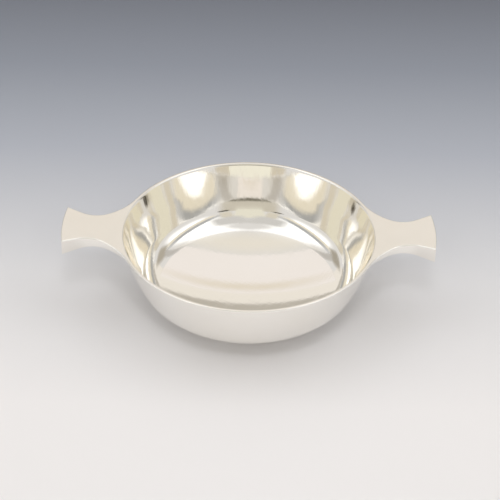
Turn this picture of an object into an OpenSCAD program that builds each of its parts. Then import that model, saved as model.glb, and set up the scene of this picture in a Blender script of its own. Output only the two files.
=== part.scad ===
// Quaich: a shallow silver drinking bowl on a ring foot, with two flat waisted lugs.
// Millimetres, +Z up, +X along the lugs, origin at the centre of the foot's resting face.

/* [Bowl] */
// Outside diameter of the bowl at its rim
rim_d = 108; // [90:1:130]
// Thickness of the raised silver sheet
sheet_t = 1.35; // [0.9:0.05:2]
// Height of the wall, from the rim down to the hip
wall_h = 12.5; // [9:0.5:16]
// Lean of the wall at the rim, in degrees from upright
wall_lean = 17.5; // [10:0.5:24]
// Radius of the gentle swell down the wall
wall_swell_r = 500; // [250:10:900]
// Height of the hip, where the wall starts to draw in, down to the turn
hip_h = 7.75; // [5:0.25:10]
// Outside radius of the hip
hip_r = 80; // [65:5:120]
// Outside radius of the turn between hip and floor
turn_r = 14; // [10:0.5:20]
// Slope of the floor where it leaves the turn, in degrees
floor_slope = 16; // [12:1:22]

/* [Foot ring] */
// Outside diameter of the foot where it rests
foot_d = 52; // [42:1:60]
// Height that the foot lifts the lowest point of the bowl
foot_lift = 4; // [2.5:0.25:6]
// Thickness of the foot's wall
foot_t = 1.6; // [1:0.1:2.5]
// Spread of the foot's wall towards the rest, in degrees
foot_spread = 12; // [0:1:20]
// Height of the half-round band at the foot's resting edge
foot_band_h = 1.4; // [1:0.1:1.8]
// How far the band stands out from the foot's wall
foot_band_out = 0.9; // [0.5:0.1:1.4]

/* [Lugs] */
// Length over both lugs
overall_l = 156; // [140:1:176]
// Rise of the lug's top from the bowl to the outer end
lug_rise = 2.3; // [0.5:0.1:4]
// How far the lug's top sits below the rim's edge at the bowl
lug_set_down = 0.05; // [0.02:0.01:0.3]
// Depth of the lug at the rim
lug_root_depth = 1.9; // [1.5:0.1:3]
// Depth of the lug at its outer end
lug_end_depth = 6.8; // [5:0.1:9]
// Width across the neck
neck_w = 17; // [14:0.5:21]
// Distance of the neck's narrowest place from the rim
neck_out = 12; // [10:0.5:14]
// Radius of the hollow on each side of the neck
neck_r = 11; // [9:0.5:12]
// Radius of the sweep from the neck into the rim
root_sweep_r = 30; // [24:1:40]
// Width of the lug's root, where the sweep has thinned against the rim
root_w = 38; // [32:1:40]
// Angle at which the sides spread from the neck to the outer end
flare = 25; // [18:1:30]

/* [Lug sheets] */
// Thickness of the lug's top plate
plate_t = 0.9; // [0.6:0.05:1.2]
// Thickness of the sides and underside of the lug's shell
shell_t = 0.9; // [0.6:0.05:1.2]
// Least height of the hollow inside the lug, at its end near the bowl
hollow_least_h = 0.6; // [0.4:0.1:1]

/* [Hidden] */

silver = "#E2DDCF";
silver_shade = "#CFC9B9";
$fn = 180;
// Finer steps for the long curve of a lug's outer end
end_fn = 720;
// Most that a step of a drawn curve may leave the true curve
curve_sag = 0.01;
// How far a cutting shape runs past the face that it cuts
past = 1;

// Points of an arc about a centre, from one angle to another
function arc(centre, r, from, to) =
    let (steps = ceil(abs(to - from) / (2 * acos(1 - curve_sag / r))))
    [for (i = [0 : steps]) let (a = from + (to - from) * i / steps) centre + r * [cos(a), sin(a)]];
function backwards(points) = [for (i = [len(points) - 1 : -1 : 0]) points[i]];
function without_first(points) = [for (i = [1 : len(points) - 1]) points[i]];

// Bowl section: distance from the axis across, height from the rim's plane up. Wall, hip, turn and
// floor are four arcs that run into each other. The inside of the sheet is the same arcs, drawn
// smaller about the same centres.
rim_r = rim_d / 2;
function facing(lean) = [cos(lean), -sin(lean)];
hip_lean = asin(sin(wall_lean) + wall_h / wall_swell_r);
turn_lean = asin(sin(hip_lean) + hip_h / hip_r);
floor_lean = 90 - floor_slope;
wall_c = [rim_r, 0] - wall_swell_r * facing(wall_lean);
hip_c = wall_c + (wall_swell_r - hip_r) * facing(hip_lean);
turn_c = hip_c + (hip_r - turn_r) * facing(turn_lean);
floor_r = turn_c.x / cos(floor_lean) + turn_r;
floor_c = [0, turn_c.y + (floor_r - turn_r) * sin(floor_lean)];
bowl_depth = floor_r - floor_c.y;
rim_z = foot_lift + bowl_depth;
function rim_lean(inset) = asin(wall_c.y / (wall_swell_r - inset));
function bowl_line(inset) = concat(
    arc(wall_c, wall_swell_r - inset, -rim_lean(inset), -hip_lean),
    without_first(arc(hip_c, hip_r - inset, -hip_lean, -turn_lean)),
    without_first(arc(turn_c, turn_r - inset, -turn_lean, -floor_lean)),
    without_first(arc(floor_c, floor_r - inset, -floor_lean, -90))
);

// Foot section: a wall that spreads towards the rest, ending in a half-round band
foot_r = foot_d / 2;
foot_wall_r = foot_r - foot_band_out;
foot_bead_r = foot_band_h / 2;

// Lug section: heights from the rim's plane, against the distance from the bowl's axis
lug_end_r = overall_l / 2;
lug_l = lug_end_r - rim_r;
lug_start_r = rim_r - lug_root_depth;
deepening = (lug_end_depth - lug_root_depth) / lug_l;
function lug_top(r) = lug_rise * (r - rim_r) / lug_l - lug_set_down;
function lug_seam(r) = lug_top(r) - plate_t;
function lug_under(r) = lug_top(r) - lug_root_depth - deepening * (r - rim_r);
hollow_start_r = rim_r + (plate_t + shell_t + hollow_least_h - lug_root_depth) / deepening;

// Lug outline from above, on its +Y side: the hollow of the neck, and the sweep that touches both
// that hollow and the rim
neck_c = [rim_r + neck_out, neck_w / 2 + neck_r];
neck_c_r = norm(neck_c);
sweep_c_r = rim_r + root_sweep_r;
sweep_step = root_sweep_r - neck_r;
sweep_lead = acos((neck_c_r^2 + sweep_c_r^2 - sweep_step^2) / (2 * neck_c_r * sweep_c_r));
sweep_c_a = atan2(neck_c.y, neck_c.x) + sweep_lead;
sweep_c = sweep_c_r * [cos(sweep_c_a), sin(sweep_c_a)];
sweep_a = 180 + atan2(sweep_c.y - neck_c.y, sweep_c.x - neck_c.x);
flare_a = 270 + flare;

// One raised sheet: leaning wall, hip, turn and shallow dished floor
module bowl() {
    color(silver)
    translate([0, 0, rim_z])
    rotate_extrude()
    polygon(concat(bowl_line(0), backwards(bowl_line(sheet_t))));
}

// What lies inside the bowl's outer face, in its section
module bowl_fill() {
    polygon(concat([[0, 0]], bowl_line(0)));
}

// A ring of drawn strip on a half-round band, fitted to the curve of the bowl's underside
module foot_ring() {
    spread = rim_z * tan(foot_spread);
    foot_inner_r = foot_wall_r - foot_t;
    color(silver_shade)
    rotate_extrude()
    difference() {
        union() {
            polygon([
                [foot_inner_r, 0],
                [foot_wall_r, 0],
                [foot_wall_r - spread, rim_z],
                [foot_inner_r - spread, rim_z]
            ]);
            translate([foot_inner_r, 0]) square([foot_r - foot_bead_r - foot_inner_r, foot_band_h]);
            translate([foot_r - foot_bead_r, foot_bead_r]) circle(r = foot_bead_r);
        }
        translate([0, rim_z]) bowl_fill();
    }
}

// Outline of the +X lug from above, drawn in by inset all round
module lug_outline(inset) {
    root_y = root_w / 2 - inset;
    sweep_r = root_sweep_r + inset;
    root_a = 180 + asin((sweep_c.y - root_y) / sweep_r);
    neck = arc(neck_c, neck_r + inset, sweep_a, flare_a);
    flare_start = neck[len(neck) - 1];
    flare_end = flare_start + (lug_end_r - flare_start.x) * [1, tan(flare)];
    half = concat([[0, root_y]], arc(sweep_c, sweep_r, root_a, sweep_a), without_first(neck), [flare_end]);
    other_half = [for (point = backwards(half)) [point.x, -point.y]];
    intersection() {
        circle(r = lug_end_r - inset, $fn = end_fn);
        polygon(concat(half, other_half));
    }
}

// The +X lug between two lines of its section, clear of the bowl, with its outline drawn in by inset
module lug_slice(upper, lower, inset) {
    translate([0, 0, rim_z])
    intersection() {
        rotate_extrude()
        difference() {
            polygon(concat(upper, backwards(lower)));
            bowl_fill();
        }
        translate([0, 0, -rim_z]) linear_extrude(2 * rim_z) lug_outline(inset);
    }
}

// The flat sheet on top of a lug, level with the rim where it meets the bowl
module lug_plate() {
    ends = [lug_start_r, lug_end_r];
    color(silver)
    lug_slice([for (r = ends) [r, lug_top(r)]], [for (r = ends) [r, lug_seam(r)]], 0);
}

// The tray under a lug: sides, outer end and underside, open upwards to the plate
module lug_shell() {
    ends = [lug_start_r, lug_end_r];
    hollow_ends = [hollow_start_r, lug_end_r];
    color(silver_shade)
    difference() {
        lug_slice([for (r = ends) [r, lug_seam(r)]], [for (r = ends) [r, lug_under(r)]], 0);
        lug_slice(
            [for (r = hollow_ends) [r, lug_seam(r) + past]],
            [for (r = hollow_ends) [r, lug_under(r) + shell_t]],
            shell_t
        );
    }
}

module right_lug_plate() { lug_plate(); }
module right_lug_shell() { lug_shell(); }
module left_lug_plate() { rotate(180) lug_plate(); }
module left_lug_shell() { rotate(180) lug_shell(); }

bowl();
foot_ring();
left_lug_plate();
left_lug_shell();
right_lug_plate();
right_lug_shell();
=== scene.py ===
"""A plain polished silver quaich: a raised bowl on a ring foot, with two flat waisted lugs.

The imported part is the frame. Each sheet of silver is modelled again here with smooth curves and softened
edges, because polish shows every facet, and stands for its own solid in the frame.
"""

import math

import bmesh
import bpy
from mathutils import Matrix, Vector


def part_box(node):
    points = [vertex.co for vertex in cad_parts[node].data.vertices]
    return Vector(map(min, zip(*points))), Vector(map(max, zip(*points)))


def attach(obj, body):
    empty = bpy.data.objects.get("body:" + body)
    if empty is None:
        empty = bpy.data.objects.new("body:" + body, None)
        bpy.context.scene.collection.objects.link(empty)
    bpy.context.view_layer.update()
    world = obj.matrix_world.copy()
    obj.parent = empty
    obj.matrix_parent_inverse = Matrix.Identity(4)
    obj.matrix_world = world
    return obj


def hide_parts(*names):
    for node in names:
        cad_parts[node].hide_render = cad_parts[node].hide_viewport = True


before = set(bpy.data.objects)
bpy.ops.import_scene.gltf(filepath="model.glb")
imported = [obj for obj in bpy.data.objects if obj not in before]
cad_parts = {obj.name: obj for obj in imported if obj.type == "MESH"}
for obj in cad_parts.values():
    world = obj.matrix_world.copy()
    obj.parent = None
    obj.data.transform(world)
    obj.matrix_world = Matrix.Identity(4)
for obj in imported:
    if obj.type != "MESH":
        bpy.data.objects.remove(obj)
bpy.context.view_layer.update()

# Sizes of the silver are in millimetres and angles in degrees, as on a maker's drawing
MM = 0.001

# Bowl: one raised sheet of wall, hip, turn and dished floor
RIM_R = 54.0
RIM_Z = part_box("bowl")[1].z / MM
SHEET_T = 1.35
WALL_H = 12.5
WALL_LEAN = 17.5
WALL_SWELL_R = 500.0
HIP_H = 7.75
HIP_R = 80.0
TURN_R = 14.0
FLOOR_SLOPE = 16.0
RIM_ROUND = 0.4

# Foot: a spreading ring on a half-round band, let a little way into the sheet above it
FOOT_R = 26.0
FOOT_T = 1.6
FOOT_SPREAD = 12.0
FOOT_BAND_H = 1.4
FOOT_BAND_OUT = 0.9
FOOT_BITE = 0.6

# Lugs: a flat plate on a deepening shell, waisted at the neck and let into the bowl's wall
LUG_END_R = 78.0
LUG_RISE = 2.3
LUG_ROOT_DEPTH = 1.9
LUG_END_DEPTH = 6.8
LUG_BITE = 1.1
PLATE_T = 0.9
NECK_W = 17.0
NECK_OUT = 12.0
NECK_R = 11.0
SWEEP_R = 30.0
FLARE = 25.0
PLATE_ROUND = 0.4
SHELL_ROUND = 0.3
# Flat strip beside a rolled edge, which keeps the roll's shading off the face
EDGE_STRIP = 0.2
# The lug's top leaves the level of the rim over about this length
LUG_EASE = 2.5
# From this distance off the middle line the lug thins towards the tips of its root, to this share
THIN_FROM = 14.0
THIN_LEAST = 0.58

# How finely the curves are drawn
TURNS = 320
WALL_STEPS = 12
HIP_STEPS = 10
TURN_STEPS = 40
FLOOR_STEPS = 24
BEAD_STEPS = 16
SWEEP_STEPS = 24
NECK_STEPS = 32
FLARE_STEPS = 8
ACROSS_STEPS = 24
ROUND_STEPS = 4

# Edges sharper than this stay crisp, on the bowl and foot and on the lugs
ROUND_CRISP = 40
LUG_CRISP = 35
# Points closer than the first are one point, and heights or radii closer than the second are level
MERGE = 0.001
LEVEL = 0.01


def sine(degrees):
    return math.sin(math.radians(degrees))


def cosine(degrees):
    return math.cos(math.radians(degrees))


def compass(degrees):
    """A step of length 1 in the plan, at that angle from the lugs' line."""
    return Vector((cosine(degrees), sine(degrees)))


def spread(first, last, steps):
    """Evenly spaced values from first to last, both included."""
    return [first + (last - first) * step / steps for step in range(steps + 1)]


def just_added(name):
    """The object just added, with its name put on it and on its mesh."""
    added = bpy.context.object
    added.name = name
    added.data.name = name
    return added


# Drawing a section with a pen: a point is extruded along lines and spun along arcs

def pen_down(name, place):
    """Starts a piece as one point of its section, in edit mode."""
    bpy.ops.object.select_all(action="DESELECT")
    bpy.ops.mesh.primitive_plane_add(size=MM)
    piece = just_added(name)
    bpy.ops.object.mode_set(mode="EDIT")
    bpy.ops.mesh.select_mode(type="VERT")
    bpy.ops.mesh.merge(type="CENTER")
    bpy.ops.transform.translate(value=place * MM)
    return piece


def draw_line(step):
    """Draws a straight line of the section."""
    bpy.ops.mesh.extrude_region_move(TRANSFORM_OT_translate={"value": step * MM})


def draw_arc(centre, degrees, steps):
    """Draws an arc of the section about a centre, clockwise as seen from the front if degrees is above 0."""
    bpy.ops.mesh.spin(steps=steps, angle=-math.radians(degrees), center=centre * MM, axis=(0, 1, 0))


def revolve():
    """Turns the drawn section once round the upright axis, and closes the skin at the seam and the poles."""
    bpy.ops.mesh.select_all(action="SELECT")
    bpy.ops.mesh.spin(steps=TURNS, angle=math.tau, center=(0, 0, 0), axis=(0, 0, 1))
    bpy.ops.mesh.select_all(action="SELECT")
    bpy.ops.mesh.remove_doubles(threshold=MERGE * MM)
    bpy.ops.mesh.normals_make_consistent(inside=False)


def pen_up(piece, crisp_angle):
    """Ends edit mode, with faces smooth except at edges sharper than the angle."""
    bpy.ops.mesh.select_all(action="DESELECT")
    bpy.ops.object.mode_set(mode="OBJECT")
    bpy.ops.object.shade_smooth_by_angle(angle=math.radians(crisp_angle))
    return piece


# Bowl section: four arcs that run into each other, and the same arcs again for the inside

def facing(lean):
    """Outward direction of the sheet where it leans by that angle, in the section."""
    return Vector((cosine(lean), 0, -sine(lean)))


HIP_LEAN = math.degrees(math.asin(sine(WALL_LEAN) + WALL_H / WALL_SWELL_R))
TURN_LEAN = math.degrees(math.asin(sine(HIP_LEAN) + HIP_H / HIP_R))
FLOOR_LEAN = 90 - FLOOR_SLOPE
WALL_C = Vector((RIM_R, 0, RIM_Z)) - WALL_SWELL_R * facing(WALL_LEAN)
HIP_C = WALL_C + (WALL_SWELL_R - HIP_R) * facing(HIP_LEAN)
TURN_C = HIP_C + (HIP_R - TURN_R) * facing(TURN_LEAN)
FLOOR_R = TURN_C.x / cosine(FLOOR_LEAN) + TURN_R
FLOOR_C = Vector((0, 0, TURN_C.z + (FLOOR_R - TURN_R) * sine(FLOOR_LEAN)))


def under_z(radius):
    """Height of the bowl's underside at a distance from the axis, within the floor."""
    return FLOOR_C.z - math.sqrt(FLOOR_R ** 2 - radius ** 2)


def raised_bowl():
    """The bowl: drawn from the middle of its inside, over the rim and down to the middle underneath."""
    inner_r = WALL_SWELL_R - SHEET_T
    inner_lean = math.degrees(math.asin((WALL_C.z - RIM_Z) / inner_r))
    rim_w = RIM_R - WALL_C.x - inner_r * cosine(inner_lean)
    piece = pen_down("bowl_sheet", FLOOR_C + (FLOOR_R - SHEET_T) * facing(90))
    draw_arc(FLOOR_C, FLOOR_LEAN - 90, FLOOR_STEPS)
    draw_arc(TURN_C, TURN_LEAN - FLOOR_LEAN, TURN_STEPS)
    draw_arc(HIP_C, HIP_LEAN - TURN_LEAN, HIP_STEPS)
    draw_arc(WALL_C, inner_lean - HIP_LEAN, WALL_STEPS)
    draw_line(Vector((rim_w, 0, 0)))
    draw_arc(WALL_C, HIP_LEAN - WALL_LEAN, WALL_STEPS)
    draw_arc(HIP_C, TURN_LEAN - HIP_LEAN, HIP_STEPS)
    draw_arc(TURN_C, FLOOR_LEAN - TURN_LEAN, TURN_STEPS)
    draw_arc(FLOOR_C, 90 - FLOOR_LEAN, FLOOR_STEPS)
    revolve()
    soften_rim(piece)
    return pen_up(piece, ROUND_CRISP)


def soften_rim(piece):
    """Rounds both edges of the rim, as the stone and the mop leave them."""
    bpy.ops.mesh.select_all(action="DESELECT")
    bpy.ops.mesh.select_mode(type="EDGE")
    skin = bmesh.from_edit_mesh(piece.data)
    for edge in skin.edges:
        at_rim = all(abs(point.co.z / MM - RIM_Z) < LEVEL for point in edge.verts)
        first, last = (point.co.xy.length for point in edge.verts)
        edge.select = at_rim and abs(first - last) < LEVEL * MM
    bmesh.update_edit_mesh(piece.data)
    bpy.ops.mesh.bevel(offset=RIM_ROUND * MM, segments=ROUND_STEPS, affect="EDGES")


def ring_foot():
    """The foot: a strip ring on a half-round band, with its top edge let into the bowl's underside."""
    bead_r = FOOT_BAND_H / 2
    wall_r = FOOT_R - FOOT_BAND_OUT
    inner_r = wall_r - FOOT_T
    bead_c = Vector((FOOT_R - bead_r, 0, bead_r))
    taper = math.tan(math.radians(FOOT_SPREAD))
    shoulder = Vector((wall_r - FOOT_BAND_H * taper, 0, FOOT_BAND_H))
    top_z = under_z(inner_r) + FOOT_BITE
    top_outer = Vector((wall_r - top_z * taper, 0, top_z))
    top_inner = top_outer - Vector((FOOT_T, 0, 0))
    start = Vector((inner_r, 0, 0))
    piece = pen_down("foot_strip", start)
    draw_line(bead_c - Vector((0, 0, bead_r)) - start)
    draw_arc(bead_c, -180, BEAD_STEPS)
    draw_line(shoulder - bead_c - Vector((0, 0, bead_r)))
    draw_line(top_outer - shoulder)
    draw_line(top_inner - top_outer)
    draw_line(start - top_inner)
    revolve()
    return pen_up(piece, ROUND_CRISP)


# Lug plan: the sweep out of the rim, the hollow of the neck and the straight flare to the outer end
LUG_L = LUG_END_R - RIM_R
NECK_C = Vector((RIM_R + NECK_OUT, NECK_W / 2 + NECK_R))
SWEEP_C_R = RIM_R + SWEEP_R
SWEEP_LEAD = math.degrees(math.acos(
    (NECK_C.length ** 2 + SWEEP_C_R ** 2 - (SWEEP_R - NECK_R) ** 2) / (2 * NECK_C.length * SWEEP_C_R)
))
SWEEP_C_A = math.degrees(math.atan2(NECK_C.y, NECK_C.x)) + SWEEP_LEAD
SWEEP_C = SWEEP_C_R * compass(SWEEP_C_A)
TOUCH_A = 180 + SWEEP_C_A
SWEEP_A = 180 + math.degrees(math.atan2(SWEEP_C.y - NECK_C.y, SWEEP_C.x - NECK_C.x))
FLARE_A = 270 + FLARE
TIP_Y = RIM_R * sine(SWEEP_C_A)


def lug_side(inset, edge_round):
    """Points of the right lug's far side from the root to the outer end, drawn in by inset."""
    sweep = [SWEEP_C + (SWEEP_R + inset) * compass(a) for a in spread(TOUCH_A, SWEEP_A, SWEEP_STEPS)]
    neck = [NECK_C + (NECK_R + inset) * compass(a) for a in spread(SWEEP_A, FLARE_A, NECK_STEPS)]
    corner = neck[-1]
    along = compass(FLARE)
    ahead = corner.dot(along)
    last_r = LUG_END_R - edge_round
    radii = spread(corner.length, last_r, FLARE_STEPS)[1:]
    radii += [last_r + edge_round * sine(a) for a in spread(0, 90, ROUND_STEPS)[1:]]
    flare = []
    for radius in radii:
        run = math.sqrt(ahead ** 2 - corner.length_squared + radius ** 2) - ahead
        flare.append(corner + along * run)
    return [sweep[0].normalized() * (RIM_R - LUG_BITE)] + sweep + neck[1:] + flare


def lug_top(x, y):
    """Height of the lug's top: level with the rim, then easing into a straight rise to the outer end."""
    out = math.hypot(x, y) - RIM_R - LUG_EASE / 2
    return RIM_Z + LUG_RISE / LUG_L * (out + math.hypot(out, LUG_EASE)) / 2


def lug_seam(x, y):
    """Height of the solder seam between plate and shell."""
    return lug_top(x, y) - PLATE_T


def lug_under(x, y):
    """Height of the lug's underside, which drops away from the top towards the outer end."""
    out = math.hypot(x, y) - RIM_R
    depth = LUG_ROOT_DEPTH + (LUG_END_DEPTH - LUG_ROOT_DEPTH) * out / LUG_L
    share = min(max((abs(y) - THIN_FROM) / (TIP_Y - THIN_FROM), 0), 1)
    thin = 1 - (1 - THIN_LEAST) * share * share * (3 - 2 * share)
    return lug_top(x, y) - depth * thin


def lug_sheet(name, outer_face, edge_round, inward):
    """One sheet of the right lug: a grid laid on its outer face with rolled edges, extruded to the seam.

    Each row of the grid is an arc about the bowl's axis, so the face stays level with the round rim.
    inward is the way from the outer face to the seam: -1 is down and 1 is up.
    """
    rolls = spread(90, 0, ROUND_STEPS)
    insets = [edge_round * (1 - sine(a)) for a in rolls] + [edge_round + EDGE_STRIP]
    drops = [edge_round * (1 - cosine(a)) for a in rolls] + [0]
    sides = [lug_side(inset, edge_round) for inset in insets]
    across = spread(1, -1, ACROSS_STEPS)[1:-1]
    rows = len(sides[0]) - 1
    columns = 2 * len(sides) + len(across) - 1
    end_drops = [0] * (rows + 1 - ROUND_STEPS) + drops[:ROUND_STEPS][::-1]

    def place(row, column):
        """Place of a grid point: on the face between the sides, or on the roll of one of them."""
        if len(sides) <= column <= columns - len(sides):
            edge = sides[-1][row]
            angle = math.atan2(edge.y, edge.x) * across[column - len(sides)]
            point = edge.length * Vector((math.cos(angle), math.sin(angle)))
            drop = 0
        else:
            side = min(column, columns - column)
            mirror = 1 if side == column else -1
            point = sides[side][row] * Vector((1, mirror))
            drop = drops[side]
        height = outer_face(point.x, point.y) + inward * max(drop, end_drops[row])
        return Vector((point.x, point.y, height)) * MM

    bpy.ops.object.select_all(action="DESELECT")
    bpy.ops.mesh.primitive_grid_add(x_subdivisions=rows, y_subdivisions=columns, size=2)
    piece = just_added(name)
    for point in piece.data.vertices:
        row = round((point.co.x + 1) / 2 * rows)
        column = round((point.co.y + 1) / 2 * columns)
        point.co = place(row, column)
    bpy.ops.object.mode_set(mode="EDIT")
    bpy.ops.mesh.select_all(action="SELECT")
    bpy.ops.mesh.extrude_region_move(TRANSFORM_OT_translate={"value": (0, 0, inward * PLATE_T * MM)})
    skin = bmesh.from_edit_mesh(piece.data)
    for point in skin.verts:
        if point.select:
            point.co.z = lug_seam(point.co.x / MM, point.co.y / MM) * MM
    bmesh.update_edit_mesh(piece.data)
    bpy.ops.mesh.select_all(action="SELECT")
    bpy.ops.mesh.normals_make_consistent(inside=False)
    return pen_up(piece, LUG_CRISP)


def other_side(piece, name):
    """A copy of a right lug's sheet, turned half round the bowl."""
    bpy.ops.object.select_all(action="DESELECT")
    piece.select_set(True)
    bpy.context.view_layer.objects.active = piece
    bpy.ops.object.duplicate(linked=False)
    copy = just_added(name)
    bpy.ops.transform.rotate(value=math.pi, orient_axis="Z", center_override=(0, 0, 0))
    bpy.ops.object.transform_apply(location=True, rotation=True, scale=True)
    return copy


# Materials

def linear(code):
    """Linear colour of an sRGB hex value."""
    shares = [int(code[i:i + 2], 16) / 255 for i in (1, 3, 5)]
    return [s / 12.92 if s <= 0.04045 else ((s + 0.055) / 1.055) ** 2.4 for s in shares] + [1]


def add_node(tree, kind, inputs=None, **settings):
    """Adds a node with its settings; an input takes a value, or the socket that it is linked from."""
    node = tree.nodes.new("ShaderNode" + kind)
    for name, value in settings.items():
        setattr(node, name, value)
    for name, value in (inputs or {}).items():
        if isinstance(value, bpy.types.NodeSocket):
            tree.links.new(value, node.inputs[name])
        else:
            node.inputs[name].default_value = value
    return node


def hand_polished_silver(name, least_haze, most_haze):
    """Sterling silver, raised, soldered and mop-polished, then handled for years.

    The mop leaves a near mirror over the hammer's last blows, which bend a reflection a little. Use leaves
    hairline scratches that smear a lamp into short streaks, and a faint warm bloom that no two places share
    alike. Where fingers hold it the polish dulls to a soft sheen. The haze is the roughness where the silver
    is least worn and most worn.
    """
    bloom_mm = 22
    haze_mm = 6
    blow_mm = 15
    blow_depth_mm = 0.03
    # Hairlines are really a few hundredths of a millimetre wide, and are drawn wider so that they show
    hairline_mm = 1.1
    hairline_length_mm = 18
    hairline_depth_mm = 0.1
    hairline_strength = 0.09
    hairline_turns = (38, -64)
    # The haze times both sets of hairlines lies mostly between these
    least_worn = 0.06
    most_worn = 0.24

    material = bpy.data.materials.new(name)
    material.use_nodes = True
    tree = material.node_tree
    shader = tree.nodes["Principled BSDF"]
    shader.inputs["Metallic"].default_value = 1
    place = add_node(tree, "TexCoord").outputs["Object"]

    bloom = add_node(tree, "TexNoise", {"Vector": place, "Scale": 1 / (bloom_mm * MM), "Detail": 3})
    tint = add_node(tree, "ValToRGB", {"Fac": bloom.outputs["Fac"]})
    tint.color_ramp.elements[0].color = linear("#FAF7F0")
    tint.color_ramp.elements[1].color = linear("#FDFBF7")
    tree.links.new(tint.outputs["Color"], shader.inputs["Base Color"])

    haze = add_node(tree, "TexNoise", {"Vector": place, "Scale": 1 / (haze_mm * MM), "Detail": 4})
    worn = haze.outputs["Fac"]
    blows = add_node(tree, "TexNoise", {"Vector": place, "Scale": 1 / (blow_mm * MM), "Detail": 1})
    dents = {"Height": blows.outputs["Fac"], "Strength": 1, "Distance": blow_depth_mm * MM}
    bump = add_node(tree, "Bump", dents)
    stretch = (1 / (hairline_length_mm * MM), 1 / (hairline_mm * MM), 1 / (hairline_length_mm * MM))
    for turn in hairline_turns:
        laid = add_node(tree, "Mapping", {"Vector": place, "Rotation": (0, 0, math.radians(turn))})
        drawn = add_node(tree, "VectorMath", {0: laid.outputs[0], 1: stretch}, operation="MULTIPLY")
        lines = add_node(tree, "TexNoise", {"Vector": drawn.outputs[0], "Scale": 1, "Detail": 2})
        cut = {"Strength": hairline_strength, "Distance": hairline_depth_mm * MM}
        over = {"Height": lines.outputs["Fac"], "Normal": bump.outputs["Normal"]}
        bump = add_node(tree, "Bump", cut | over)
        worn = add_node(tree, "Math", {0: worn, 1: lines.outputs["Fac"]}, operation="MULTIPLY").outputs[0]
    tree.links.new(bump.outputs["Normal"], shader.inputs["Normal"])
    wear = {"From Min": least_worn, "From Max": most_worn, "To Min": least_haze, "To Max": most_haze}
    sheen = add_node(tree, "MapRange", wear | {"Value": worn})
    tree.links.new(sheen.outputs["Result"], shader.inputs["Roughness"])
    return material


def graded_paper():
    """Matt background paper, coloured from near white at the front to blue-grey behind."""
    # Where the grade starts and ends, in metres from the bowl's axis
    front, back = -0.13, 0.29
    shades = ((0.15, "#EBE9EA"), (0.35, "#DEDEE1"), (0.6, "#B2B6C0"), (0.8, "#9398A3"))

    material = bpy.data.materials.new("graded_background_paper")
    material.use_nodes = True
    tree = material.node_tree
    shader = tree.nodes["Principled BSDF"]
    shader.inputs["Roughness"].default_value = 0.9
    shader.inputs["Specular IOR Level"].default_value = 0.1
    place = add_node(tree, "TexCoord").outputs["Object"]
    apart = add_node(tree, "SeparateXYZ", {"Vector": place})
    along = add_node(tree, "MapRange", {"Value": apart.outputs["Y"], "From Min": front, "From Max": back})
    grade = add_node(tree, "ValToRGB", {"Fac": along.outputs["Result"]})
    ramp = grade.color_ramp
    ramp.elements[0].color = linear("#E9E7E8")
    ramp.elements[1].color = linear("#7A7E88")
    for spot, code in shades:
        ramp.elements.new(spot).color = linear(code)
    tree.links.new(grade.outputs["Color"], shader.inputs["Base Color"])
    return material


def lit_cloth(name, code, strength, fade):
    """Cloth of the studio tent with a lamp behind it, its light dying away over a share of each side."""
    # Half of a panel, before it is drawn out to its width and height
    half = 0.5
    material = bpy.data.materials.new(name)
    material.use_nodes = True
    tree = material.node_tree
    tree.nodes.clear()
    place = add_node(tree, "TexCoord").outputs["Object"]
    apart = add_node(tree, "SeparateXYZ", {"Vector": place})
    fades = []
    for axis in ("X", "Y"):
        off = add_node(tree, "Math", {0: apart.outputs[axis]}, operation="ABSOLUTE")
        span = {"Value": off.outputs[0], "From Min": half, "From Max": half - fade}
        fades.append(add_node(tree, "MapRange", span, interpolation_type="SMOOTHSTEP").outputs["Result"])
    share = add_node(tree, "Math", {0: fades[0], 1: fades[1]}, operation="MULTIPLY")
    glow = add_node(tree, "Emission", {"Color": linear(code), "Strength": strength})
    clear = add_node(tree, "BsdfTransparent")
    mix = add_node(tree, "MixShader", {0: share.outputs[0], 1: clear.outputs[0], 2: glow.outputs[0]})
    add_node(tree, "OutputMaterial", {"Surface": mix.outputs[0]})
    return material


# Studio, in metres: a floor of graded paper, cloth panels around and above, a lamp and the camera

def studio_panel(name, place, size, cloth, fade, roll=0):
    """A lit panel that faces the bowl, and that the camera sees only in the polish.

    place is azimuth, elevation and distance, with azimuth 0 behind the bowl and 90 to its right. size is
    width and height, cloth is colour and strength, and fade is the share of each side over which the light
    dies away. A roll above 0 raises the side with the larger azimuth.
    """
    azimuth, elevation, distance = place
    level = distance * cosine(elevation)
    spot = Vector((level * sine(azimuth), level * cosine(azimuth), distance * sine(elevation)))
    bpy.ops.object.select_all(action="DESELECT")
    bpy.ops.mesh.primitive_plane_add(size=1, location=spot)
    panel = just_added(name)
    panel.scale = (*size, 1)
    aim = (-spot).to_track_quat("Z", "Y").to_matrix() @ Matrix.Rotation(math.radians(roll), 3, "Z")
    panel.rotation_euler = aim.to_euler()
    panel.data.materials.append(lit_cloth(name + "_cloth", *cloth, fade))
    panel.visible_camera = False


def panel_pair(name, place, size, cloth, fade, roll=0):
    """A panel on the right, and its mirror image on the left."""
    azimuth, elevation, distance = place
    studio_panel("right_" + name, place, size, cloth, fade, roll)
    studio_panel("left_" + name, (360 - azimuth, elevation, distance), size, cloth, fade, -roll)


def studio_floor():
    """The paper under the bowl, wide enough to show no edge from any side."""
    width = 6
    bpy.ops.object.select_all(action="DESELECT")
    bpy.ops.mesh.primitive_plane_add(size=width)
    floor = just_added("floor")
    floor.data.materials.append(graded_paper())


def studio_air():
    """The pale room that shows between the panels."""
    world = bpy.data.worlds.new("room")
    bpy.context.scene.world = world
    world.use_nodes = True
    ground = world.node_tree.nodes["Background"]
    ground.inputs["Color"].default_value = linear("#E0DEDC")
    ground.inputs["Strength"].default_value = 1.0


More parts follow.
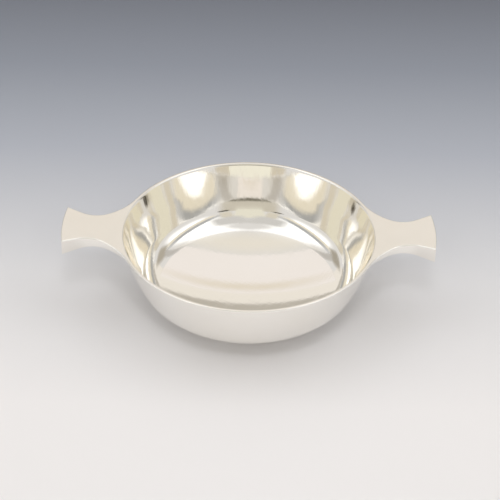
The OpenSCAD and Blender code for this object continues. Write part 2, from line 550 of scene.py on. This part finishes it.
def front_fill():
    """A broad soft lamp above the camera, which fills the shadow in front of the bowl.

    It is kept out of the polish, where the panels alone show.
    """
    data = bpy.data.lights.new("front_fill", "AREA")
    data.shape = "DISK"
    data.size = 1.0
    data.energy = 104.0
    lamp = bpy.data.objects.new("front_fill", data)
    bpy.context.scene.collection.objects.link(lamp)
    lamp.location = (0, -1.12, 1.08)
    lamp.rotation_euler = lamp.location.to_track_quat("Z", "Y").to_euler()
    lamp.visible_glossy = False


def studio_camera():
    """The camera of the photograph: raised 35 degrees, and turned a little about its own line of sight."""
    rim_centre = Vector((0, 0, RIM_Z * MM))
    away = 0.650
    elevation = 35.32
    lens = 112.0
    sensor = 36.0
    frame_px = 500
    # Where the centre of the rim lies in the photograph
    centre_px = Vector((249.0, 231.85))
    roll = 1.25
    data = bpy.data.cameras.new("camera")
    data.lens = lens
    data.sensor_width = sensor
    camera = bpy.data.objects.new("camera", data)
    bpy.context.scene.collection.objects.link(camera)
    camera.location = rim_centre + away * Vector((0, -cosine(elevation), sine(elevation)))
    focal_px = lens / sensor * frame_px
    tilt = math.atan((frame_px / 2 - centre_px.y) / focal_px)
    swing = math.atan((centre_px.x - frame_px / 2) / focal_px)
    aim = Matrix.Rotation(math.radians(90 - elevation), 4, "X")
    aim = aim @ Matrix.Rotation(math.radians(roll), 4, "Z")
    aim = aim @ Matrix.Rotation(-tilt, 4, "X") @ Matrix.Rotation(swing, 4, "Y")
    camera.rotation_euler = aim.to_euler()
    bpy.context.scene.camera = camera


bpy.context.scene.view_settings.view_transform = "Standard"
# The bowl's walls mirror each other many times over, and would turn black at Blender's usual few bounces
bpy.context.scene.cycles.glossy_bounces = 12
studio_camera()
studio_air()
studio_floor()

# Behind the bowl, for the middle of its floor
studio_panel("back_panel", place=(0, 46.3, 1.2), size=(0.7, 0.41), cloth=("#F4EEEA", 0.98), fade=0.03)
studio_panel("back_bar", place=(0, 40.5, 1.15), size=(0.9, 0.13), cloth=("#EAE1D3", 0.95), fade=0.45)
studio_panel("back_wide", place=(0, 36.2, 1.22), size=(2.2, 0.24), cloth=("#F1EBE2", 0.97), fade=0.12)
studio_panel("back_band", place=(0, 19.5, 1.35), size=(2.6, 0.6), cloth=("#D0C9BE", 0.8), fade=0.06)

# To the right and left, softboxes and the cloths that dim parts of them, for the walls and the floor's edges
panel_pair("softbox", place=(104, 52, 1.1), size=(1.48, 1.28), cloth=("#FFFFFF", 1.5), fade=0.3)
panel_pair("top_box", place=(55, 70, 1.12), size=(0.82, 0.6), cloth=("#FFFFFF", 1.3), fade=0.35)
panel_pair("mask", place=(104, 41.5, 1.04), size=(1.5, 0.17), cloth=("#E9E2D2", 1.0), fade=0.15, roll=-9)
panel_pair("shade", place=(104, 47, 1.03), size=(2.0, 0.18), cloth=("#BDBEC0", 0.8), fade=0.35, roll=-9)
panel_pair("top_shade", place=(150, 60, 1.03), size=(0.75, 0.8), cloth=("#DAD8D5", 0.9), fade=0.3)
studio_panel(
    "right_flag", place=(52, 34, 1.08), size=(0.66, 0.3), cloth=("#C8C0B2", 0.78), fade=0.3, roll=-10
)
studio_panel(
    "left_flag", place=(308, 34, 1.08), size=(0.66, 0.3), cloth=("#C8C0B2", 0.7), fade=0.3, roll=10
)
panel_pair("streak", place=(42, 45, 1.21), size=(0.8, 0.22), cloth=("#CFCBC6", 0.85), fade=0.3, roll=-36)

# High behind, for the far side of the floor
studio_panel("ceiling_strip", place=(0, 61, 1.4), size=(2.0, 0.4), cloth=("#ECE6DB", 0.97), fade=0.5)

# In front, around and under the camera, for the far wall
studio_panel("front_card", place=(180, 35, 1.2), size=(0.7, 0.95), cloth=("#F2EEDE", 0.9), fade=0.15)
panel_pair("frame", place=(154, 37, 1.25), size=(0.36, 0.9), cloth=("#DAD3C4", 0.98), fade=0.3)
studio_panel("front_low_card", place=(180, 3, 1.25), size=(0.9, 0.14), cloth=("#F2EEDE", 1.0), fade=0.06)
studio_panel("front_low_wall", place=(180, 3, 1.3), size=(1.7, 0.15), cloth=("#DCD2BE", 0.9), fade=0.08)
studio_panel("front_wall", place=(180, 15, 1.4), size=(1.9, 0.5), cloth=("#DAD3C4", 0.85), fade=0.2)
studio_panel("front_gap", place=(180, 10.6, 1.3), size=(1.5, 0.07), cloth=("#9A9484", 0.6), fade=0.3)
studio_panel("right_gap", place=(153, 19, 1.15), size=(0.3, 0.12), cloth=("#8A8272", 0.25), fade=0.3)
studio_panel("left_gap", place=(210, 20, 1.15), size=(0.28, 0.11), cloth=("#8A8272", 0.35), fade=0.35)
front_fill()

mirror = hand_polished_silver("mop_polished_sterling_silver", least_haze=0.03, most_haze=0.11)
handled = hand_polished_silver("finger_dulled_sterling_silver", least_haze=0.17, most_haze=0.23)
right_plate = lug_sheet("right_plate", lug_top, PLATE_ROUND, inward=-1)
right_shell = lug_sheet("right_shell", lug_under, SHELL_ROUND, inward=1)
pieces = {
    "bowl": raised_bowl(),
    "foot_ring": ring_foot(),
    "right_lug_plate": right_plate,
    "right_lug_shell": right_shell,
    "left_lug_plate": other_side(right_plate, "left_plate"),
    "left_lug_shell": other_side(right_shell, "left_shell"),
}
for node, piece in pieces.items():
    piece.data.materials.append(handled if "lug" in node else mirror)
    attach(piece, "root")
    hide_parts(node)
